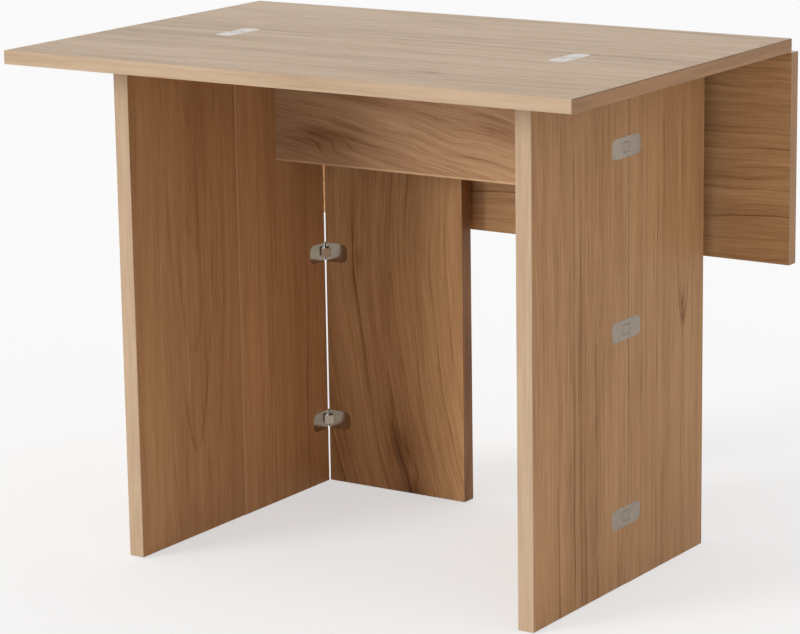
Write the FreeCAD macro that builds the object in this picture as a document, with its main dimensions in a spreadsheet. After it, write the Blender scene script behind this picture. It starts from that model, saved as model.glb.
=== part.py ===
# Butterfly folding table: a three-leaf top on two side panels, each with a front and a rear gate.
# Leaves and gates turn on flush link hinges: two wings let into the wood, joined by a link on two pins.
# Millimetres, +X along the table, +Y to its back, +Z up, origin on the floor under the middle of the table.
# Every piece is drawn with the table fully open; what rests folded is then turned about its hinge pins.
import FreeCAD, Part
import os
import re
from FreeCAD import Placement, Rotation, Vector

SIZES = (
    ("table_height", 730, "floor to the upper face of the top"),
    ("top_length", 900, "length of all three leaves"),
    ("leaf_depth", 298.5, "depth of one leaf, front to back"),
    ("top_thickness", 19, "thickness of the leaves"),
    ("seam_gap", 0.5, "gap between two hinged boards lying flat"),
    ("side_inset", 114.4, "overhang of the top past a side panel's outer face"),
    ("side_thickness", 24, "thickness of side panels and gates"),
    ("side_front_inset", 41, "front edge of the centre leaf to the front edge of a side panel"),
    ("gate_leaf_gap", 13.5, "room between a folded gate and the hanging leaf"),
    ("gate_gap", 130.6, "opening between the two folded gates"),
    ("gate_floor_gap", 0.5, "clearance of a gate over the floor"),
    ("gate_top_gap", 0.5, "clearance of a gate under the leaves"),
    ("apron_height", 191, "height of the cross rail"),
    ("apron_thickness", 19, "thickness of the cross rail"),
    ("edge_ease", 0.5, "bevel that eases a board's edges"),
    ("seam_ease", 0.4, "bevel along a seam, where hinged boards meet closely"),
    ("leaf_hinge_inset", 178, "leaf hinges, from the ends of the top"),
    ("low_hinge_height", 98, "lowest gate hinge above the floor"),
    ("middle_hinge_drop", 351, "middle gate hinge below the top's underside"),
    ("high_hinge_drop", 101.5, "highest gate hinge below the top's underside"),
    ("wing_length", 39, "hinge wing, from the seam's middle to its tip"),
    ("wing_breadth", 28.5, "hinge wing, along the seam"),
    ("wing_depth", 8, "hinge wing, into the wood"),
    ("wing_corner", 10, "radius of a wing's outer corners"),
    ("wing_lip", 1, "bevel of a wing's edge at the seam"),
    ("pocket_clear", 0.15, "clearance round a wing in its pocket"),
    ("pin_offset", 7, "hinge pin from the seam's middle"),
    ("pin_depth", 2, "hinge pin below the wing's face, and half the link's thickness"),
    ("pin_diameter", 2.4, "hinge pin"),
    ("pin_inset", 0.5, "pin's end below the wing's side"),
    ("pin_press", 0.01, "radial clearance of a pin in its wing"),
    ("pin_run", 0.12, "radial clearance of a pin in its link"),
    ("slot_breadth", 14, "slot for the link, along the seam"),
    ("slot_clear", 0.3, "clearance of the link in its slot"),
    ("link_breadth", 13, "link, along the seam"),
    ("link_seat", 0.1, "clearance under a link that has sunk in its upright slot"),
    ("tongue_reach", 5.2, "tongue of a moving wing, past its edge and under the fixed wing"),
    ("tongue_thickness", 1.3, "tongue of a moving wing"),
    ("tongue_clear", 0.2, "clearance round a tongue"),
    ("dowel_diameter", 10, "wooden dowel"),
    ("dowel_length", 36, "wooden dowel"),
    ("dowel_fit", 0.03, "radial clearance of a dowel"),
    ("top_dowel_depth", 11, "depth of a side panel's dowel in the top"),
    ("top_dowel_pitch", 130, "spacing of the two dowels on top of a side panel"),
    ("apron_dowel_depth", 16, "depth of an apron's dowel in a side panel"),
    ("apron_dowel_pitch", 110, "spacing of the two dowels at an apron's end"),
    ("cut_over", 1, "how far a cut runs past the face it starts from"),
)

# A folded board has turned by this angle on each of its hinge's two pins: square to its neighbour.
SQUARE_FOLD = 45
# Pins, dowels and their bores are drawn with this many sides.
BAR_SIDES = 8

doc = FreeCAD.newDocument("folding_table")
sheet = doc.addObject("Spreadsheet::Sheet", "Sizes")
derived = doc.addObject("App::VarSet", "Derived")
derived_names = []
for row, (alias, number, meaning) in enumerate(SIZES, 1):
    sheet.set(f"A{row}", meaning)
    sheet.set(f"B{row}", str(number))
    sheet.setAlias(f"B{row}", alias)
doc.recompute()


def refer(formula):
    """A formula in plain size names, written with the objects that hold those sizes."""
    def owner(match):
        name = match.group(0)
        return ("Derived." if name in derived_names else "Sizes.") + name
    return re.sub(r"\b[a-z]\w*\b(?!\()", owner, str(formula))


def derive(name, formula):
    derived.addProperty("App::PropertyFloat", name, "Derived")
    derived.setExpression(name, refer(formula))
    derived_names.append(name)


def value(name):
    return float(getattr(derived, name) if name in derived_names else sheet.get(name))


derive("underside", "table_height - top_thickness")
derive("side_outer", "top_length / 2 - side_inset")
derive("side_inner", "side_outer - side_thickness")
derive("fold_step", "pin_offset * (sqrt(2) - 1) - pin_depth")
derive("middle", "(leaf_depth + seam_gap / 2 - fold_step - top_thickness) / 2")
derive("leaf_seam", "(leaf_depth + seam_gap) / 2")
derive("side_rear_inset", "side_thickness + gate_leaf_gap")
derive("side_width", "leaf_depth - side_front_inset - side_rear_inset")
derive("side_middle", "middle + (side_front_inset - side_rear_inset) / 2")
derive("gate_seam", "(side_width + seam_gap) / 2")
derive("gate_width", "side_inner - fold_step - seam_gap / 2 - gate_gap / 2")
derive("leaf_hinge_place", "top_length / 2 - leaf_hinge_inset")
derive("middle_hinge_height", "underside - middle_hinge_drop")
derive("high_hinge_height", "underside - high_hinge_drop")
derive("slot_swing", f"(pin_depth * sqrt(2) + pin_run) / cos(180 / {BAR_SIDES})")
derive("slot_depth", "2 * pin_depth + slot_clear")
derive("link_drop", "(slot_breadth - link_breadth) / 2 - link_seat")
doc.recompute()


def bind(item, formulas):
    for prop, formula in formulas.items():
        item.setExpression(prop, refer(formula))
    return item


def box(name, size, corner):
    """A block of the given (x, y, z) size from its lowest corner."""
    item = doc.addObject("Part::Box", name)
    bind(item, dict(zip(("Length", "Width", "Height"), size)))
    return bind(item, dict(zip(("Placement.Base.x", "Placement.Base.y", "Placement.Base.z"), corner)))


def along(item, formulas, start, axis):
    """Binds an item's sizes and stands it on its start point along an axis."""
    item.Placement = Placement(Vector(), Rotation(Vector(0, 0, 1), axis))
    bind(item, formulas)
    return bind(item, dict(zip(("Placement.Base.x", "Placement.Base.y", "Placement.Base.z"), start)))


def bar(name, radius, length, start, axis):
    """A small round bar, drawn with few sides."""
    item = doc.addObject("Part::Prism", name)
    item.Polygon = BAR_SIDES
    return along(item, {"Circumradius": radius, "Height": length}, start, axis)


def edged(kind, name, source, size_of):
    """The source with its edges rounded or bevelled, each by its own size. An edge of size 0 stays sharp."""
    doc.recompute()
    sizes = [(index, size_of(edge)) for index, edge in enumerate(source.Shape.Edges, 1)]
    item = doc.addObject(kind, name)
    item.Base = source
    item.Edges = [(index, size, size) for index, size in sizes if size]
    return item


def rounded(name, source, size, chosen):
    return edged("Part::Fillet", name, source, lambda edge: size if chosen(edge) else 0)


def bevelled(name, source, size, chosen):
    return edged("Part::Chamfer", name, source, lambda edge: size if chosen(edge) else 0)


def joined(name, items):
    item = doc.addObject("Part::MultiFuse", name)
    item.Shapes = items
    return item


def grouped(name, items):
    item = doc.addObject("Part::Compound", name)
    item.Links = items
    return item


def cut(name, source, tools):
    item = doc.addObject("Part::Cut", name)
    item.Base = source
    item.Tool = grouped(name + "_cuts", tools) if len(tools) > 1 else tools[0]
    return item


def placed(master, placement):
    """One more of a repeated piece, at a placement."""
    item = doc.addObject("App::Link", master.Name + "_placed")
    item.LinkedObject = master
    item.LinkTransform = True
    item.Placement = placement
    return item


# The hinge is drawn flat in its own frame: X across the seam towards the moving board, Y along the seam,
# Z out of the face. Its master pieces are those of the fixed side; the moving side is turned half round.
ALONG_SEAM = Vector(0, 1, 0)
UP, BACK, RIGHT = Vector(0, 0, 1), Vector(0, 1, 0), Vector(1, 0, 0)
HALF_ROUND = Placement(Vector(), Rotation(Vector(0, 0, 1), 180))


def upright_at_tip(edge):
    ends = [vertex.Point for vertex in edge.Vertexes]
    return all(point.x < -value("wing_length") / 2 for point in ends) and ends[0].z != ends[1].z


def face_edge_at_seam(edge):
    return all(abs(vertex.X + value("seam_gap") / 2) + abs(vertex.Z) < 1e-6 for vertex in edge.Vertexes)


def wing_body(name):
    blank = box(name + "_blank", ("wing_length - seam_gap / 2", "wing_breadth", "wing_depth"),
                ("-wing_length", "-wing_breadth / 2", "-wing_depth"))
    tip = rounded(name + "_tip", blank, value("wing_corner"), upright_at_tip)
    return bevelled(name + "_body", tip, value("wing_lip"), face_edge_at_seam)


def wing_cuts(name):
    """The slot for the link, with room for the link's end to swing round the pin, and the pin's hole."""
    slot = box(name + "_slot", ("pin_offset", "slot_breadth", "slot_depth + cut_over"),
               ("-pin_offset", "-slot_breadth / 2", "-slot_depth"))
    swing = bar(name + "_slot_end", "slot_swing", "slot_breadth",
                ("-pin_offset", "-slot_breadth / 2", "-pin_depth"), ALONG_SEAM)
    pin_hole = bar(name + "_pin_hole", "pin_diameter / 2 + pin_press", "wing_breadth + 2 * cut_over",
                   ("-pin_offset", "-wing_breadth / 2 - cut_over", "-pin_depth"), ALONG_SEAM)
    return [slot, swing, pin_hole]


def make_fixed_wing():
    """The wing in the fixed board, with a rebate under its edge for the other wing's tongue."""
    rebate = box("rebate", ("tongue_reach + tongue_clear", "wing_breadth + 2 * cut_over",
                            "wing_depth + cut_over - slot_depth"),
                 ("-tongue_reach - tongue_clear", "-wing_breadth / 2 - cut_over", "-wing_depth - cut_over"))
    return cut("fixed_wing", wing_body("fixed_wing"), wing_cuts("fixed_wing") + [rebate])


def make_moving_wing():
    """The wing in the moving board. Its tongue closes the seam from behind when the board stands square."""
    tongue = box("tongue", ("wing_length / 2 + tongue_reach", "wing_breadth - 2 * tongue_clear",
                            "tongue_thickness"),
                 ("-(wing_length + seam_gap) / 2", "-wing_breadth / 2 + tongue_clear",
                  "-slot_depth - tongue_clear - tongue_thickness"))
    body = joined("tongued_wing", [wing_body("moving_wing"), tongue])
    return cut("moving_wing", body, wing_cuts("moving_wing"))


def make_pocket():
    """The recess that a wing is let into."""
    blank = box("pocket_blank", ("wing_length + pocket_clear", "wing_breadth + 2 * pocket_clear",
                                 "wing_depth + cut_over"),
                ("-wing_length - pocket_clear", "-wing_breadth / 2 - pocket_clear", "-wing_depth"))
    return rounded("pocket", blank, value("wing_corner") + value("pocket_clear"), upright_at_tip)


def lower_end(edge):
    ends = [vertex.Point for vertex in edge.Vertexes]
    return all(point.z < -value("pin_depth") for point in ends) and ends[0].x == ends[1].x


def make_link():
    """The link lies flush in its slot, and is round about its pins on the underside."""
    blank = box("link_blank", ("2 * (pin_offset + pin_depth)", "link_breadth", "2 * pin_depth"),
                ("-pin_offset - pin_depth", "-link_breadth / 2", "-2 * pin_depth"))
    body = rounded("link_body", blank, value("pin_depth"), lower_end)
    holes = [bar(f"link_hole_{side}", "pin_diameter / 2 + pin_run", "link_breadth + 2 * cut_over",
                 (place, "-link_breadth / 2 - cut_over", "-pin_depth"), ALONG_SEAM)
             for side, place in (("fixed", "-pin_offset"), ("moving", "pin_offset"))]
    return cut("link", body, holes)


def make_pin():
    return bar("pin", "pin_diameter / 2", "wing_breadth - 2 * pin_inset",
               ("-pin_offset", "-wing_breadth / 2 + pin_inset", "-pin_depth"), ALONG_SEAM)


def hinge_frame(origin, across, outward):
    return Placement(origin, Rotation(across, outward.cross(across), outward, "ZXY"))


def turn_on_pin(side, angle):
    """A turn about one pin that folds the moving board towards the hinge's face."""
    centre = Vector(side * value("pin_offset"), 0, -value("pin_depth"))
    return Placement(Vector(), Rotation(-ALONG_SEAM, angle), centre)


class HingeLine:
    """The hinges between a fixed board and a moving one, with how far they rest folded."""

    def __init__(self, name, origin, across, outward, offsets, rest_fold, link_drop):
        self.name = name
        self.rest_fold = rest_fold
        self.axis = hinge_frame(origin, across, outward)
        self.frames = [hinge_frame(origin + offset, across, outward) for offset in offsets]
        self.link_drop = Placement(UP * -link_drop, Rotation())
        at_fixed_pin = turn_on_pin(-1, rest_fold)
        at_both_pins = at_fixed_pin * turn_on_pin(1, rest_fold)
        self.link_rest = self.axis * at_fixed_pin * self.axis.inverse()
        self.board_rest = self.axis * at_both_pins * self.axis.inverse()

    def fixed_places(self):
        return self.frames

    def link_places(self):
        return [self.link_drop * self.link_rest * frame for frame in self.frames]

    def moving_places(self):
        return [self.board_rest * frame * HALF_ROUND for frame in self.frames]

    def open_moving_places(self):
        return [frame * HALF_ROUND for frame in self.frames]


SIDES = (("left", -1), ("right", 1))
leaf_offsets = [RIGHT * side * value("leaf_hinge_place") for _, side in SIDES]
gate_offsets = [UP * value(level + "_hinge_height") for level in ("low", "middle", "high")]


def leaf_line(name, towards, outward, level, rest_fold):
    origin = BACK * (value("middle") + towards * value("leaf_seam")) + UP * value(level)
    return HingeLine(name, origin, BACK * towards, outward, leaf_offsets, rest_fold, 0)


def gate_line(name, side, towards, outward, face, rest_fold):
    origin = RIGHT * side * value(face) + BACK * (value("side_middle") + towards * value("gate_seam"))
    link_drop = value("link_drop") if rest_fold else 0
    return HingeLine(name, origin, BACK * towards, outward, gate_offsets, rest_fold, link_drop)


front_leaf_line = leaf_line("front_leaf", -1, UP, "table_height", 0)
rear_leaf_line = leaf_line("rear_leaf", 1, -UP, "underside", SQUARE_FOLD)
front_gate_lines = {name: gate_line(f"{name}_front_gate", side, -1, RIGHT * side, "side_outer", 0)
                    for name, side in SIDES}
rear_gate_lines = {name: gate_line(f"{name}_rear_gate", side, 1, RIGHT * -side, "side_inner", SQUARE_FOLD)
                   for name, side in SIDES}
lines = [front_leaf_line, rear_leaf_line, *front_gate_lines.values(), *rear_gate_lines.values()]

fixed_wing, moving_wing, pocket = make_fixed_wing(), make_moving_wing(), make_pocket()
link, pin = make_link(), make_pin()


def pockets(places):
    return [placed(pocket, place) for place in places]


def board_ease(edge):
    """The bevel of a board's edge, finer along the seams."""
    places = [vertex.Y for vertex in edge.Vertexes]
    seams = [value(middle) + towards * value(seam) for towards in (-1, 1)
             for middle, seam in (("middle", "leaf_seam"), ("side_middle", "gate_seam"))]
    at_seam = any(all(abs(place - seam) < value("seam_gap") for place in places) for seam in seams)
    return value("seam_ease" if at_seam else "edge_ease")


def eased_board(name, size, corner):
    return edged("Part::Chamfer", name + "_eased", box(name + "_blank", size, corner), board_ease)


def dowel_rods(name, radius, starts, axis):
    return [bar(f"{name}_{index}", radius, "dowel_length", start, axis) for index, start in enumerate(starts)]


def side_corner(side, reach):
    """Lowest x of a board that stands on the given side, from its outer reach."""
    return reach if side > 0 else f"-{reach} - side_thickness"


# Wooden dowels: upright ones hold the side panels to the centre leaf, level ones hold the apron between them.
top_dowel_starts = {
    name: [(f"{side} * (side_outer + side_inner) / 2", f"side_middle + {place} * top_dowel_pitch / 2",
            "underside + top_dowel_depth - dowel_length") for place in (-1, 1)]
    for name, side in SIDES}
apron_dowel_starts = {
    name: [(f"{side} * (side_inner + apron_dowel_depth)", "middle",
            f"underside - apron_height / 2 + {place} * apron_dowel_pitch / 2") for place in (-1, 1)]
    for name, side in SIDES}
dowel_bore = "dowel_diameter / 2 + dowel_fit"


def top_dowel_bores(name):
    return dowel_rods(f"top_dowel_bore_{name}", dowel_bore, top_dowel_starts[name], UP)


def apron_dowel_bores(name, side):
    return dowel_rods(f"apron_dowel_bore_{name}", dowel_bore, apron_dowel_starts[name], RIGHT * -side)


top_bores = {name: top_dowel_bores(name) for name, side in SIDES}
apron_bores = {name: apron_dowel_bores(name, side) for name, side in SIDES}

nodes = []


def keep(item, label):
    item.Label = label
    nodes.append(item)
    return item


def make_leaves():
    size = ("top_length", "leaf_depth", "top_thickness")
    for name, place in (("front_leaf", -1), ("centre_top", 0), ("rear_leaf", 1)):
        front = f"middle - leaf_depth / 2 + {place} * 2 * leaf_seam"
        blank = eased_board(name, size, ("-top_length / 2", front, "underside"))
        if name == "centre_top":
            tools = pockets(front_leaf_line.fixed_places() + rear_leaf_line.fixed_places())
            keep(cut(name, blank, tools + top_bores["left"] + top_bores["right"]), name)
            continue
        line = front_leaf_line if place < 0 else rear_leaf_line
        leaf = keep(cut(name, blank, pockets(line.open_moving_places())), name)
        leaf.Placement = line.board_rest


def make_side(name, side):
    """A fixed side panel with its two gates."""
    corner_x = side_corner(side, "side_inner")
    panel = eased_board(f"{name}_side_panel", ("side_thickness", "side_width", "underside"),
                        (corner_x, "side_middle - side_width / 2", 0))
    front, rear = front_gate_lines[name], rear_gate_lines[name]
    keep(cut(f"{name}_side", panel, pockets(front.fixed_places() + rear.fixed_places())
             + top_bores[name] + apron_bores[name]), f"{name}_side_panel")
    gate_size = ("side_thickness", "gate_width", "underside - gate_floor_gap - gate_top_gap")
    for line, corner_y in ((front, "side_middle - gate_seam - seam_gap / 2 - gate_width"),
                           (rear, "side_middle + gate_seam + seam_gap / 2")):
        board = eased_board(line.name, gate_size, (corner_x, corner_y, "gate_floor_gap"))
        gate = keep(cut(line.name, board, pockets(line.open_moving_places())), line.name)
        gate.Placement = line.board_rest


def make_apron():
    blank = eased_board("apron", ("2 * side_inner", "apron_thickness", "apron_height"),
                        ("-side_inner", "middle - apron_thickness / 2", "underside - apron_height"))
    keep(cut("apron", blank, apron_bores["left"] + apron_bores["right"]), "apron")


def make_dowels():
    radius = "dowel_diameter / 2"
    top = [dowel_rods(f"top_dowel_{name}", radius, top_dowel_starts[name], UP) for name, side in SIDES]
    level = [dowel_rods(f"apron_dowel_{name}", radius, apron_dowel_starts[name], RIGHT * -side)
             for name, side in SIDES]
    keep(grouped("top_dowels", top[0] + top[1]), "top_dowels")
    keep(grouped("apron_dowels", level[0] + level[1]), "apron_dowels")


def make_hinges():
    fixed_pins = []
    for line in lines:
        fixed, moving = line.fixed_places(), line.moving_places()
        sets = (("fixed_wings", fixed_wing, fixed), ("moving_wings", moving_wing, moving),
                ("links", link, line.link_places()), ("moving_pins", pin, moving))
        for kind, master, places in sets:
            pieces = [placed(master, place) for place in places]
            keep(grouped(f"{line.name}_{kind}_group", pieces), f"{line.name}_{kind}")
        fixed_pins += [placed(pin, place) for place in fixed]
    keep(grouped("root_pins", fixed_pins), "fixed_pins")


make_leaves()
for side_name, side_sign in SIDES:
    make_side(side_name, side_sign)
make_apron()
make_dowels()
make_hinges()
doc.recompute()

for item in doc.Objects:
    if "Invalid" in item.State or "Error" in item.State:
        raise RuntimeError(f"{item.Name} failed: {item.State}")
for node in nodes:
    if node.Shape.isNull() or not node.Shape.isValid():
        raise RuntimeError(f"{node.Label} has no valid shape")
os.makedirs("parts", exist_ok=True)
for node in nodes:
    node.Shape.exportStep(f"parts/{node.Label}.step")
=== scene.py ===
"""A butterfly folding table in pale veneered wood with flush link hinges, in soft studio light."""

import math
from collections import namedtuple

import bpy
from mathutils import Matrix, Vector


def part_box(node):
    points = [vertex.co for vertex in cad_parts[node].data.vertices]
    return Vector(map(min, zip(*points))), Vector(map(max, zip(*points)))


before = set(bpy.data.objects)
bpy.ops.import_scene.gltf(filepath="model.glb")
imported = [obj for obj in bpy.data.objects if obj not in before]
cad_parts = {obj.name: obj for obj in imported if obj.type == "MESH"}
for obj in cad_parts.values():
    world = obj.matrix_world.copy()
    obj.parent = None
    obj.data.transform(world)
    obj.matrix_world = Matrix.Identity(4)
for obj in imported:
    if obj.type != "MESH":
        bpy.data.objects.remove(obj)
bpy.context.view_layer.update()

# Camera: width of the frame and focal length in pixels, width of the sensor in millimetres, angles in
# degrees, place and far limit in metres
FRAME_WIDTH = 800
FOCAL_PIXELS = 3126.1
SENSOR = 36.0
AZIMUTH, ELEVATION, ROLL = 33.578, 13.021, -0.870
CAMERA_PLACE = (2.35220, -3.55806, 1.33100)
CLIP_END = 200

# Light: the way to the key light, its strength, its breadth in degrees, and the level of the room
KEY_WAY = (-0.53, -0.81, 0.235)
KEY_STRENGTH = 2.5
KEY_ANGLE = 28
ROOM_LEVEL = 0.745
WHITE = (1, 1, 1, 1)

# Floor: its own level, how far it is whitened where it is seen, its reach and its drop in metres
FLOOR_ALBEDO = 0.96
FLOOR_WHITE = 0.55
FLOOR_REACH = 40
FLOOR_DROP = 0.0004

# Colours in linear light, from pale to dark wood, each with the darkness that it stands for:
# faces of the top, the sides and the apron, long edges, ends, dowels
TOP_STOPS = ((0.0, (0.39, 0.229, 0.086)), (0.5, (0.295, 0.162, 0.054)), (1.0, (0.14, 0.064, 0.019)))
SIDE_STOPS = (
    (-0.3, (0.60, 0.347, 0.166)),
    (0.0, (0.50, 0.278, 0.128)),
    (0.5, (0.345, 0.170, 0.070)),
    (1.0, (0.12, 0.048, 0.018)),
)
APRON_STOPS = (
    (-0.3, (0.58, 0.370, 0.210)),
    (0.0, (0.485, 0.297, 0.165)),
    (0.4, (0.36, 0.200, 0.104)),
    (0.7, (0.235, 0.108, 0.042)),
    (1.0, (0.12, 0.048, 0.018)),
)
EDGE_STOPS = ((0.0, (0.43, 0.305, 0.20)), (0.5, (0.36, 0.245, 0.152)), (1.0, (0.265, 0.163, 0.092)))
END_STOPS = ((0.0, (0.48, 0.250, 0.088)), (0.5, (0.34, 0.156, 0.043)), (1.0, (0.115, 0.043, 0.009)))
DOWEL_STOPS = ((0.0, (0.62, 0.45, 0.27)), (1.0, (0.47, 0.31, 0.17)))

# Boards with a look of their own: the two that make the top, the three leaves, and those whose long edges
# are painted dark as painted shade, for the shade under the top
TOP_BOARDS = ("front_leaf", "centre_top")
LEAVES = TOP_BOARDS + ("rear_leaf",)
EDGES_IN_PAINTED_SHADE = ("left_rear_gate", "right_rear_gate")
FACE_STOPS = {"front_leaf": TOP_STOPS, "centre_top": TOP_STOPS, "apron": APRON_STOPS}

# Knots: place across and along the board, half width and half length, in metres
APRON_KNOTS = ((-0.055, -0.24, 0.018, 0.06),)
GATE_KNOTS = ((0.010, -0.285, 0.034, 0.042), (0.030, -0.352, 0.028, 0.026), (-0.063, 0.0, 0.007, 0.024))
# Pointed dark lines: place of the tip across and along the board, half width and length, in metres
PANEL_ARCHES = ((0.0505, -0.009, 0.0165, 0.07), (0.0485, 0.012, 0.0090, 0.05))

# Axes of a board along the grain, across it and through its thickness
LYING = ("x", "y", "z")
LEVEL_GRAIN = ("x", "z", "y")
IN_SIDE = ("z", "y", "x")
SQUARE_TO_SIDE = ("z", "x", "y")

# One board's figure, in metres where it is a length.
# pith, below: where the heart of the tree lies across the board and under its face, slope: how the second
# changes along the grain. ring: width of a growth ring. wander: how far the grain wanders.
# mark, streak: how strongly rings and streaks show. tone: how dark the board is.
# tilt, bend: how far the grain runs askew and curves. The last field is painted light: how much paler one
# side of the board is painted, where the key light falls on it.
Figure = namedtuple(
    "Figure",
    "along across depth pith below slope ring wander mark streak tone tilt bend knots arches sap",
    defaults=(0, 0, (), (), 0),
)
FIGURES = {
    "front_leaf": Figure(
        *LYING, pith=-0.05, below=0.05, slope=0.05, ring=0.024, wander=0.020,
        mark=1.0, streak=2.0, tone=0.08, tilt=0.02,
    ),
    "centre_top": Figure(
        *LYING, pith=0.08, below=0.06, slope=-0.06, ring=0.026, wander=0.020,
        mark=1.0, streak=2.0, tone=0.08, tilt=0.02,
    ),
    "rear_leaf": Figure(
        *LEVEL_GRAIN, pith=0.35, below=0.12, slope=0.02, ring=0.009, wander=0.014,
        mark=1.4, streak=1.7, tone=0.0, tilt=0.02,
    ),
    # Painted light: this board's tone is paler, standing in for light on its inner face, which lies in shade
    # under the top
    "left_side_panel": Figure(
        *IN_SIDE, pith=0.30, below=0.06, slope=0.02, ring=0.011, wander=0.006,
        mark=0.9, streak=1.2, tone=-0.15,
    ),
    "right_side_panel": Figure(
        *IN_SIDE, pith=0.30, below=0.05, slope=0.02, ring=0.009, wander=0.006,
        mark=1.2, streak=1.0, tone=0.15, arches=PANEL_ARCHES,
    ),
    "left_front_gate": Figure(
        *IN_SIDE, pith=0.011, below=0.045, slope=-0.067, ring=0.008, wander=0.008,
        mark=0.65, streak=1.3, tone=0.05,
    ),
    "right_front_gate": Figure(
        *IN_SIDE, pith=-0.30, below=0.05, slope=0.02, ring=0.013, wander=0.006,
        mark=0.8, streak=1.3, tone=0.20,
    ),
    "left_rear_gate": Figure(
        *SQUARE_TO_SIDE, pith=-0.30, below=0.10, slope=0.02, ring=0.013, wander=0.012,
        mark=1.2, streak=1.8, tone=0.07, tilt=-0.03, bend=0.4, knots=GATE_KNOTS, sap=0.25,
    ),
    "right_rear_gate": Figure(
        *SQUARE_TO_SIDE, pith=0.020, below=0.04, slope=0.07, ring=0.012, wander=0.012,
        mark=1.1, streak=1.1, tone=0.04,
    ),
    "apron": Figure(
        *LEVEL_GRAIN, pith=0.22, below=0.06, slope=0.03, ring=0.013, wander=0.022,
        mark=0.55, streak=1.6, tone=0.15, tilt=-0.16, knots=APRON_KNOTS,
    ),
}

# Seeds: the first board's, the step to the next board, the end bands of the top, and how much of a seed
# moves the streaks along the grain and through the board
FIRST_SEED, SEED_STEP, TOP_BAND_SEED = 2.0, 7.3, 4.0
SEED_ALONG, SEED_THROUGH = 0.7, 1.3

# Kinds of streaks: width and length in metres, and what the kind adds to the board's seed
SWAY, RIPPLE, RING_FADE = (0.09, 0.30, 0), (0.010, 0.07, 3), (0.030, 0.16, 5)
HAIRS, BROAD_BAND, THIN_BAND = (0.0011, 0.022, 29), (0.011, 0.16, 31), (0.0026, 0.12, 37)
DOWEL_GRAIN = (0.0012, 0.02, 5)
# Streaks of a face from broad to fine, and the share of each kind
FACE_STREAKS = (
    ((0.060, 0.90, 11), 0.50),
    ((0.014, 0.40, 14), 0.45),
    ((0.0055, 0.16, 17), 0.50),
    ((0.0024, 0.06, 20), 0.45),
)
STREAK_ROUGHNESS = 0.6
RIPPLE_REACH = 0.003

# Growth rings: how many rings a knot pushes them by, how often and how far their width varies, how steeply
# late wood darkens, how dark early wood gets, where late wood ends, how much rings differ, and how far and
# where they fade
KNOT_PUSH = 1.6
UNEVEN_SCALE, UNEVEN_REACH = 0.55, 2.4
LATE_STEEPNESS, EARLY_DARK, LATE_END = 8.0, 0.10, 0.93
RING_VARIETY = 1.7
FADED, FADE_RANGE = 0.12, (0.35, 0.65)

# Pointed lines: how pointed and how thin they are, and after how many lengths they have faded
ARCH_POINT, ARCH_THIN, ARCH_FADE = 3.0, 30.0, 4.0

# Darkness of plain wood, pores, knots and pointed lines, the range of noise that makes pores, and how far
# from the middle of a board the painted light on its paler side, where the key light falls, reaches full
# strength
PLAIN_DARK, PORE_DARK, KNOT_DARK, ARCH_DARK = 0.10, 0.20, 0.40, 0.45
PORE_RANGE = (0.57, 0.69)
PAINTED_LIGHT_REACH = 0.09

# Painted highlight along the front edge of the side panels and the lower edge of the apron, for light caught
# by their eased arris: width and paleness
EDGE_HIGHLIGHT_WIDTH = 0.003
PAINTED_EDGE_HIGHLIGHTS = {"left_side_panel": 0.8, "right_side_panel": 0.25, "apron": 0.55}
# The dark edge of the face veneer: width. Lines are blurred by this share of their width
VENEER = 0.0018
LINE_BLUR = 0.3

# Edge bands: strength and offset of broad and thin streaks, then strength and offset of both together in
# the darkness of ends, pale long edges and the dark ones that are painted shade, and what the bevel and the
# veneer's edge add
BROAD_MARK, THIN_MARK = (1.1, -0.40), (0.55, -0.25)
END_BAND, PALE_BAND, PAINTED_SHADE_BAND = (0.55, 0.46), (1.4, -0.07), (0.9, 0.50)
BEVEL_DARK, VENEER_DARK = 0.45, 0.35

# Parts of the normal that tell a bevel, a flat face and an outer face
BEVEL_RANGE, FLAT_RANGE, OUTER_RANGE = (0.30, 0.45), (0.75, 0.92), (0.0, 0.5)

# Finish of the wood: roughness and gloss of the leaves and of other boards, what dark wood and pores add to
# the roughness, how deep they lie, and strength and distance of the bump
LEAF_FINISH, SIDE_FINISH = (0.30, 0.38), (0.44, 0.16)
DARK_ROUGH, PORE_ROUGH = 0.10, 0.10
PORE_DEPTH, DARK_DEPTH = 0.7, 0.3
WOOD_BUMP, DOWEL_BUMP, METAL_BUMP = (0.25, 0.0003), (0.2, 0.0002), (0.06, 0.0001)
DOWEL_RANGE, DOWEL_ROUGH = (0.3, 0.7), (0.2, 0.5)

# Tints of the plated metal: plates and links of each kind of hinge, and the pins. They are lit and shaded
# copies of one metal:
# the front gates' plates and links are painted darker, as painted shade for the shaded floor that they
# mirror, and the rear gates' plates paler, as painted light for the brighter reflection in the folded corner
HINGE_TINTS_WITH_PAINTED_LIGHT = {
    "leaf": ((0.43, 0.37, 0.305), (0.42, 0.36, 0.295)),
    "front_gate": ((0.335, 0.272, 0.215), (0.33, 0.268, 0.212)),
    "rear_gate": ((0.54, 0.495, 0.43), (0.42, 0.36, 0.295)),
}
PIN_TINT = (0.42, 0.39, 0.355)
# Roughness of plates, links and pins, and what each adds to the number of smudges
PLATE_FINISH, LINK_FINISH, PIN_FINISH = (0.14, 0), (0.17, 11), (0.28, 23)
# Smudges, speckles and brush lines in a metre, the share of smudges in the wear, the level of worn metal,
# between which shades it wears, and what smudges and brushing add to the roughness
SMUDGES, SPECKLES, BRUSH_LINES = 90, 1500, {"x": 60, "y": 60, "z": 4000}
SMUDGE_SHARE, WORN_LEVEL, WORN_SHADE, NEW_SHADE = 0.7, 0.82, 0.3, 0.62
SMUDGE_ROUGH, BRUSH_ROUGH = 0.10, 0.05

# A place on a board: distances from its middle across the grain, along it and through the board
Place = namedtuple("Place", "across along depth")


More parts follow.
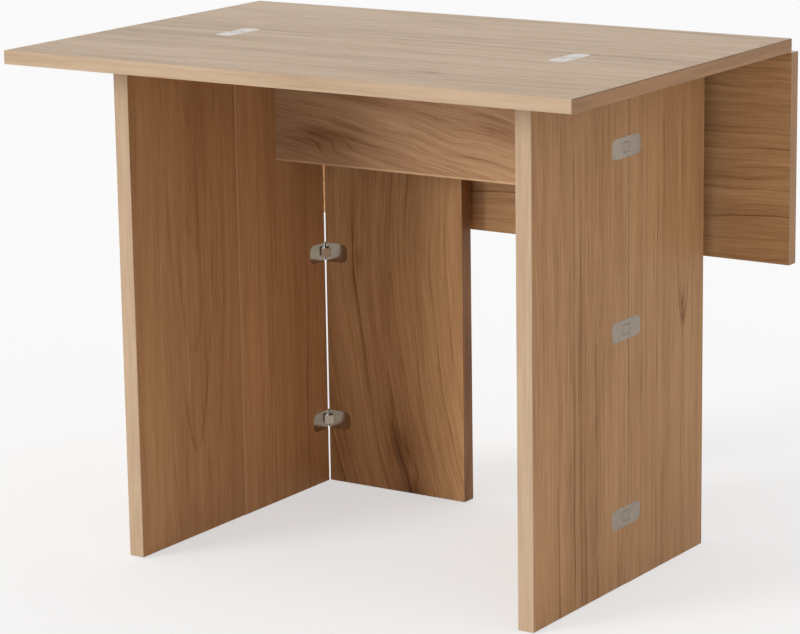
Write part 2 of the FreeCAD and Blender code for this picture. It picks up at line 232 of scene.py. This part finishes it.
class Graph:
    """The shader nodes of one material, or of the world."""

    def __init__(self, owner):
        owner.use_nodes = True
        self.owner, self.tree = owner, owner.node_tree
        self.tree.nodes.clear()

    def node(self, kind, inputs, **settings):
        """A new node. Each input is a socket to link or a constant to set."""
        made = self.tree.nodes.new(kind)
        for key, setting in settings.items():
            setattr(made, key, setting)
        for key, value in inputs.items():
            socket = made.inputs[key]
            if isinstance(value, bpy.types.NodeSocket):
                self.tree.links.new(value, socket)
            else:
                socket.default_value = value
        return made

    def math(self, operation, *values):
        inputs = dict(enumerate(values))
        return self.node("ShaderNodeMath", inputs, operation=operation).outputs[0]

    def scaled(self, value, factor, offset=0.0):
        return self.math("MULTIPLY_ADD", value, factor, offset)

    def total(self, first, *others):
        for other in others:
            first = self.math("ADD", first, other)
        return first

    def square(self, value):
        return self.math("MULTIPLY", value, value)

    def bell(self, squares, steepness=1.0):
        """1 where the squares are 0, falling to 0 round it."""
        return self.math("POWER", math.e, self.scaled(squares, -steepness))

    def vector(self, x, y, z):
        return self.node("ShaderNodeCombineXYZ", {"X": x, "Y": y, "Z": z}).outputs[0]

    def parts(self, vector):
        return dict(zip("xyz", self.node("ShaderNodeSeparateXYZ", {"Vector": vector}).outputs))

    def coordinate(self, kind):
        """A texture coordinate. Object is the rest frame in metres, Normal the surface's normal there."""
        return self.node("ShaderNodeTexCoord", {}).outputs[kind]

    def noise(self, vector, scale=1.0, detail=2.0, roughness=0.5):
        inputs = {"Vector": vector, "Scale": scale, "Detail": detail, "Roughness": roughness}
        return self.node("ShaderNodeTexNoise", inputs).outputs["Fac"]

    def between(self, value, low, high, to_low=0.0, to_high=1.0):
        inputs = {"Value": value, "From Min": low, "From Max": high, "To Min": to_low, "To Max": to_high}
        made = self.node("ShaderNodeMapRange", inputs, interpolation_type="SMOOTHSTEP")
        return made.outputs["Result"]

    def mix(self, factor, first, second):
        """Mixes two colours. The node takes them in sockets 6 and 7, and gives the result in socket 2."""
        made = self.node("ShaderNodeMix", {0: factor, 6: first, 7: second}, data_type="RGBA")
        return made.outputs[2]

    def ramp(self, factor, stops):
        """The colour of this darkness. The ramp runs from the first stop's darkness to the last one's."""
        low, high = stops[0][0], stops[-1][0]
        factor = self.scaled(factor, 1 / (high - low), -low / (high - low))
        made = self.node("ShaderNodeValToRGB", {"Fac": factor})
        elements = made.color_ramp.elements
        while len(elements) < len(stops):
            elements.new(0.5)
        for element, (place, colour) in zip(elements, stops):
            element.position, element.color = (place - low) / (high - low), (*colour, 1)
        return made.outputs["Color"]

    def bump(self, height, strength, distance):
        inputs = {"Height": height, "Strength": strength, "Distance": distance}
        return self.node("ShaderNodeBump", inputs).outputs["Normal"]

    def seen(self):
        """1 for rays that show what they meet: from the camera, off gloss and through glass."""
        path = self.node("ShaderNodeLightPath", {}).outputs
        either = self.math("MAXIMUM", path["Is Camera Ray"], path["Is Glossy Ray"])
        return self.math("MAXIMUM", either, path["Is Transmission Ray"])

    def finish(self, inputs):
        """Ends a material with a principled shader that has these inputs."""
        shader = self.node("ShaderNodeBsdfPrincipled", inputs)
        self.node("ShaderNodeOutputMaterial", {"Surface": shader.outputs["BSDF"]})
        return self.owner


def new_material(name):
    return Graph(bpy.data.materials.new(name))


def board_place(graph, rest, node, figure):
    """The place on this board of a place in the rest frame."""
    low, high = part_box(node)
    middle = dict(zip("xyz", (low + high) / 2))
    axes = (figure.across, figure.along, figure.depth)
    return Place(*(graph.math("SUBTRACT", rest[axis], middle[axis]) for axis in axes))


def half_size(node, axis):
    """Half the size of a CAD node along one axis."""
    low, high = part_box(node)
    return (high - low)["xyz".index(axis)] / 2


def bevels(graph, first, second):
    """1 on the bevels between the faces that look along these two axes of the board."""
    normal = graph.parts(graph.coordinate("Normal"))
    product = graph.math("MULTIPLY", normal[first], normal[second])
    return graph.between(graph.math("ABSOLUTE", product), *BEVEL_RANGE)


def facing(graph, axis):
    """1 on the faces that look along this axis of the board."""
    normal = graph.parts(graph.coordinate("Normal"))
    return graph.between(graph.math("ABSOLUTE", normal[axis]), *FLAT_RANGE)


def line_border(width):
    """Where the blurred border of a line of this width starts and ends."""
    return width * (1 - LINE_BLUR), width * (1 + LINE_BLUR)


def veneer_edge(graph, place, node, figure):
    """1 near the board's upper or outer face, where the edge of the face veneer shows as a dark line."""
    near, far = line_border(VENEER)
    half = half_size(node, figure.depth)
    return graph.between(place.depth, half - far, half - near)


def edge_highlight(graph, place, node, figure):
    """1 along the front or lower edge of the board, where a painted highlight shows light caught by the
    eased arris.
    """
    near, far = line_border(EDGE_HIGHLIGHT_WIDTH)
    half = half_size(node, figure.across)
    return graph.between(place.across, near - half, far - half, 1.0, 0.0)


def streaks(graph, place, kind, seed, detail=3.0):
    """Noise drawn out along the grain."""
    width, length, own_seed = kind
    seed = seed + own_seed
    drawn_out = graph.vector(
        graph.scaled(place.across, 1 / width, seed),
        graph.scaled(place.along, 1 / length, seed * SEED_ALONG),
        graph.scaled(place.depth, 1 / width, seed * SEED_THROUGH),
    )
    return graph.noise(drawn_out, detail=detail, roughness=STREAK_ROUGHNESS)


def flow(graph, place, figure, seed):
    """The place with its distance across the board as the grain runs: askew, bent and wandering."""
    sway = streaks(graph, place, SWAY, seed, detail=2.0)
    ripple = streaks(graph, place, RIPPLE, seed)
    across = graph.total(
        place.across,
        graph.math("MULTIPLY", place.along, graph.scaled(place.along, -figure.bend, -figure.tilt)),
        graph.scaled(sway, 2 * figure.wander, -figure.wander),
        graph.scaled(ripple, RIPPLE_REACH, -RIPPLE_REACH / 2),
    )
    return place._replace(across=across)


def knot_marks(graph, place, figure):
    """1 in the middle of each knot, falling off round it."""
    marks = []
    for across, along, width, length in figure.knots:
        sideways = graph.scaled(place.across, 1 / width, -across / width)
        lengthwise = graph.scaled(place.along, 1 / length, -along / length)
        squares = graph.math("MULTIPLY_ADD", sideways, sideways, graph.square(lengthwise))
        marks.append(graph.bell(squares))
    return graph.total(*marks) if marks else None


def arch_marks(graph, place, figure):
    """Pointed dark lines where the face cuts along a growth ring. They fade away from the tip."""
    marks = []
    for across, along, width, length in figure.arches:
        sideways = graph.math("ABSOLUTE", graph.scaled(place.across, 1 / width, -across / width))
        run = graph.scaled(place.along, 1 / length, -along / length)
        off = graph.math("SUBTRACT", graph.math("POWER", sideways, ARCH_POINT), run)
        line = graph.bell(graph.square(off), ARCH_THIN)
        marks.append(graph.math("MULTIPLY", line, graph.between(run, 0.0, ARCH_FADE, 1.0, 0.0)))
    return graph.total(*marks) if marks else None


def late_wood(graph, ring_place):
    """Darkness within a ring: slow at first, steep in the late wood, and gone at the ring's end."""
    dark = graph.total(graph.math("POWER", ring_place, LATE_STEEPNESS), graph.scaled(ring_place, EARLY_DARK))
    return graph.math("MULTIPLY", dark, graph.between(ring_place, LATE_END, 1.0, 1.0, 0.0))


def ring_marks(graph, place, figure, knots, seed):
    """Dark late wood of the growth rings, cut by the board's face: 0 to 1."""
    sideways = graph.math("SUBTRACT", place.across, figure.pith)
    under = graph.total(place.depth, graph.scaled(place.along, figure.slope, figure.below))
    squares = graph.math("MULTIPLY_ADD", sideways, sideways, graph.square(under))
    radius = graph.scaled(graph.math("SQRT", squares), 1 / figure.ring)
    if knots:
        radius = graph.total(radius, graph.scaled(knots, KNOT_PUSH))
    uneven = graph.noise(graph.vector(radius, seed, 0.0), scale=UNEVEN_SCALE, detail=1.0)
    count = graph.total(radius, graph.scaled(uneven, UNEVEN_REACH))
    ring = graph.vector(graph.math("FLOOR", count), seed, 0.0)
    chance = graph.node("ShaderNodeTexWhiteNoise", {"Vector": ring}, noise_dimensions="3D").outputs["Value"]
    fade = streaks(graph, place, RING_FADE, seed, detail=2.0)
    weight = graph.math("POWER", chance, RING_VARIETY)
    weight = graph.math("MULTIPLY", weight, graph.between(fade, *FADE_RANGE, FADED, 1.0))
    return graph.math("MULTIPLY", late_wood(graph, graph.math("FRACT", count)), weight)


def face_figure(graph, board, node, figure, seed):
    """How dark the face veneer is at each place of the board, and where its pores lie."""
    knots = knot_marks(graph, board, figure)
    place = flow(graph, board, figure, seed)
    arches = arch_marks(graph, place, figure)
    rings = ring_marks(graph, place, figure, knots, seed)
    dark = graph.scaled(rings, figure.mark, figure.tone + PLAIN_DARK)
    for kind, share in FACE_STREAKS:
        strength = share * figure.streak
        layer = streaks(graph, place, kind, seed)
        dark = graph.total(dark, graph.scaled(layer, strength, -strength / 2))
    pores = graph.between(streaks(graph, place, HAIRS, seed), *PORE_RANGE)
    dark = graph.total(dark, graph.scaled(pores, PORE_DARK))
    if knots:
        dark = graph.total(dark, graph.scaled(knots, KNOT_DARK))
    if arches:
        dark = graph.total(dark, graph.scaled(arches, ARCH_DARK))
    # Painted light: one side of the board is made paler where the key light falls on it
    if figure.sap:
        dark = graph.total(dark, graph.between(board.across, 0.0, PAINTED_LIGHT_REACH, 0.0, -figure.sap))
    # Painted highlight: a pale band along the front or lower edge, for light caught by the eased arris
    if node in PAINTED_EDGE_HIGHLIGHTS:
        dark = graph.total(dark, graph.scaled(edge_highlight(graph, board, node, figure), -PAINTED_EDGE_HIGHLIGHTS[node]))
    return dark, pores


def band_figure(graph, place, ends, seed):
    """How dark the edge band is at each place: its grain runs along the edge."""
    length = graph.total(graph.math("MULTIPLY", ends, place.across), place.along)
    length = graph.math("SUBTRACT", length, graph.math("MULTIPLY", ends, place.along))
    on_band = Place(place.depth, length, ends)
    broad = streaks(graph, on_band, BROAD_BAND, seed)
    thin = streaks(graph, on_band, THIN_BAND, seed)
    return graph.total(graph.scaled(broad, *BROAD_MARK), graph.scaled(thin, *THIN_MARK))


def edge_colour(graph, rest, board, node, figure, seed):
    """Colour of the edge bands. Bands across the grain are darker."""
    ends = facing(graph, figure.along)
    # The end bands of the top run on from one board to the next
    band_seed = TOP_BAND_SEED if node in TOP_BOARDS else seed
    band = band_figure(graph, board._replace(across=rest[figure.across]), ends, band_seed)
    end_dark = graph.total(
        graph.scaled(band, *END_BAND),
        graph.scaled(bevels(graph, figure.along, figure.depth), BEVEL_DARK),
        graph.scaled(veneer_edge(graph, board, node, figure), VENEER_DARK),
    )
    # Painted shade: the rear gates' long edges take the sides' darker colour, for the shade they stand in
    # under the top
    if node in EDGES_IN_PAINTED_SHADE:
        long_colour = graph.ramp(graph.scaled(band, *PAINTED_SHADE_BAND), SIDE_STOPS)
    else:
        long_colour = graph.ramp(graph.scaled(band, *PALE_BAND), EDGE_STOPS)
    return graph.mix(ends, long_colour, graph.ramp(end_dark, END_STOPS))


def face_colour(graph, dark, node, figure):
    """Colour of the faces. The rear leaf's outer face is level with the top once the leaf is raised."""
    colour = graph.ramp(dark, FACE_STOPS.get(node, SIDE_STOPS))
    if node == "rear_leaf":
        normal = graph.parts(graph.coordinate("Normal"))
        outer = graph.between(normal[figure.depth], *OUTER_RANGE)
        colour = graph.mix(outer, colour, graph.ramp(dark, TOP_STOPS))
    return colour


def wood(node, figure, seed):
    """Veneered board with edge bands, rubbed with matt oil."""
    graph = new_material(node + "_wood")
    rest = graph.parts(graph.coordinate("Object"))
    board = board_place(graph, rest, node, figure)
    dark, pores = face_figure(graph, board, node, figure, seed)
    edges = edge_colour(graph, rest, board, node, figure, seed)
    faces = face_colour(graph, dark, node, figure)
    roughness, gloss = LEAF_FINISH if node in LEAVES else SIDE_FINISH
    height = graph.total(graph.scaled(pores, -PORE_DEPTH), graph.scaled(dark, -DARK_DEPTH))
    return graph.finish(
        {
            "Base Color": graph.mix(facing(graph, figure.depth), edges, faces),
            "Roughness": graph.total(
                graph.scaled(dark, DARK_ROUGH, roughness), graph.scaled(pores, PORE_ROUGH)
            ),
            "Specular IOR Level": gloss,
            "Normal": graph.bump(height, *WOOD_BUMP),
        }
    )


def metal(name, tint, roughness, more_smudges):
    """Plated metal with faint brushing, smudges and fine wear."""
    graph = new_material(name)
    place = graph.coordinate("Object")
    smudge = graph.noise(place, scale=SMUDGES + more_smudges, detail=4)
    speckle = graph.noise(place, scale=SPECKLES)
    parts = graph.parts(place)
    brush = graph.noise(graph.vector(*(graph.scaled(parts[axis], BRUSH_LINES[axis]) for axis in "xyz")))
    shade = graph.total(graph.scaled(smudge, SMUDGE_SHARE), graph.scaled(speckle, 1 - SMUDGE_SHARE))
    worn = tuple(level * WORN_LEVEL for level in tint)
    return graph.finish(
        {
            "Base Color": graph.ramp(shade, ((WORN_SHADE, worn), (NEW_SHADE, tint))),
            "Metallic": 1.0,
            "Roughness": graph.total(
                graph.scaled(smudge, SMUDGE_ROUGH, roughness - SMUDGE_ROUGH / 2),
                graph.scaled(brush, BRUSH_ROUGH),
            ),
            "Normal": graph.bump(graph.scaled(graph.total(brush, speckle), 0.5), *METAL_BUMP),
        }
    )


def dowel_wood():
    """Plain pale dowel with straight fine grain."""
    graph = new_material("dowel_wood")
    rest = graph.parts(graph.coordinate("Object"))
    grain = streaks(graph, Place(rest["x"], rest["z"], rest["y"]), DOWEL_GRAIN, 0.0)
    return graph.finish(
        {
            "Base Color": graph.ramp(graph.between(grain, *DOWEL_RANGE), DOWEL_STOPS),
            "Roughness": graph.scaled(grain, *DOWEL_ROUGH),
            "Normal": graph.bump(grain, *DOWEL_BUMP),
        }
    )


def paint(node, material):
    """Gives a CAD node this material."""
    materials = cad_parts[node].data.materials
    materials.clear()
    materials.append(material)


def paint_boards():
    for number, (node, figure) in enumerate(FIGURES.items()):
        paint(node, wood(node, figure, SEED_STEP * number + FIRST_SEED))


def paint_hinges():
    # Painted light: the front gates' hinges get a darker copy of the metal, and the rear gates' plates a
    # paler one
    for kind, (plate_tint_by_light, link_tint_by_light) in HINGE_TINTS_WITH_PAINTED_LIGHT.items():
        plate = metal(kind + "_hinge_plate_tinted_by_light", plate_tint_by_light, *PLATE_FINISH)
        link = metal(kind + "_hinge_link_tinted_by_light", link_tint_by_light, *LINK_FINISH)
        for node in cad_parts:
            if kind in node and node.endswith("_wings"):
                paint(node, plate)
            elif kind in node and node.endswith("_links"):
                paint(node, link)
    steel = metal("hinge_steel", PIN_TINT, *PIN_FINISH)
    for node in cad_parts:
        if node.endswith("_pins"):
            paint(node, steel)


def paint_dowels():
    material = dowel_wood()
    for node in ("top_dowels", "apron_dowels"):
        paint(node, material)


def make_floor():
    """A plain pale floor, whitened where it is seen, that keeps the shadow."""
    mesh = bpy.data.meshes.new("floor")
    reach = FLOOR_REACH
    corners = [(-reach, -reach, 0), (reach, -reach, 0), (reach, reach, 0), (-reach, reach, 0)]
    mesh.from_pydata(corners, [], [(0, 1, 2, 3)])
    floor = bpy.data.objects.new("floor", mesh)
    floor.location.z = -FLOOR_DROP
    bpy.context.scene.collection.objects.link(floor)
    graph = new_material("floor")
    matt = graph.node("ShaderNodeBsdfDiffuse", {"Color": (FLOOR_ALBEDO, FLOOR_ALBEDO, FLOOR_ALBEDO, 1)})
    white = graph.node("ShaderNodeEmission", {"Color": WHITE, "Strength": 1.0})
    inputs = {0: graph.scaled(graph.seen(), FLOOR_WHITE), 1: matt.outputs[0], 2: white.outputs[0]}
    shade = graph.node("ShaderNodeMixShader", inputs)
    graph.node("ShaderNodeOutputMaterial", {"Surface": shade.outputs[0]})
    floor.data.materials.append(graph.owner)


def make_key():
    """A broad soft key light from the front left."""
    lamp = bpy.data.lights.new("key", "SUN")
    lamp.energy, lamp.angle = KEY_STRENGTH, math.radians(KEY_ANGLE)
    key = bpy.data.objects.new("key", lamp)
    # The lamp stands for a broad screen, so gloss shows the white room and not the lamp's small disc
    key.visible_glossy = False
    key.rotation_mode = "QUATERNION"
    key.rotation_quaternion = Vector(KEY_WAY).to_track_quat("Z", "Y")
    bpy.context.scene.collection.objects.link(key)


def make_room():
    """A room that lights the table evenly, and is white where it is seen."""
    graph = Graph(bpy.data.worlds.new("room"))
    strength = graph.scaled(graph.seen(), 1 - ROOM_LEVEL, ROOM_LEVEL)
    back = graph.node("ShaderNodeBackground", {"Color": WHITE, "Strength": strength})
    graph.node("ShaderNodeOutputWorld", {"Surface": back.outputs[0]})
    bpy.context.scene.world = graph.owner


def make_camera():
    """The photograph's camera: the way back to it, its right and its up, turned by the roll."""
    azimuth, elevation, roll = (math.radians(angle) for angle in (AZIMUTH, ELEVATION, ROLL))
    back = Vector(
        (
            math.sin(azimuth) * math.cos(elevation),
            -math.cos(azimuth) * math.cos(elevation),
            math.sin(elevation),
        )
    )
    level = Vector((math.cos(azimuth), math.sin(azimuth), 0))
    upright = back.cross(level)
    right = math.cos(roll) * level + math.sin(roll) * upright
    up = -math.sin(roll) * level + math.cos(roll) * upright
    data = bpy.data.cameras.new("camera")
    data.sensor_fit, data.sensor_width = "HORIZONTAL", SENSOR
    data.lens = SENSOR * FOCAL_PIXELS / FRAME_WIDTH
    data.clip_end = CLIP_END
    camera = bpy.data.objects.new("camera", data)
    camera.matrix_world = Matrix.Translation(CAMERA_PLACE) @ Matrix((right, up, back)).transposed().to_4x4()
    bpy.context.scene.collection.objects.link(camera)
    bpy.context.scene.camera = camera


bpy.context.scene.view_settings.view_transform = "Standard"
make_camera()
make_key()
make_room()
make_floor()
paint_boards()
paint_hinges()
paint_dowels()
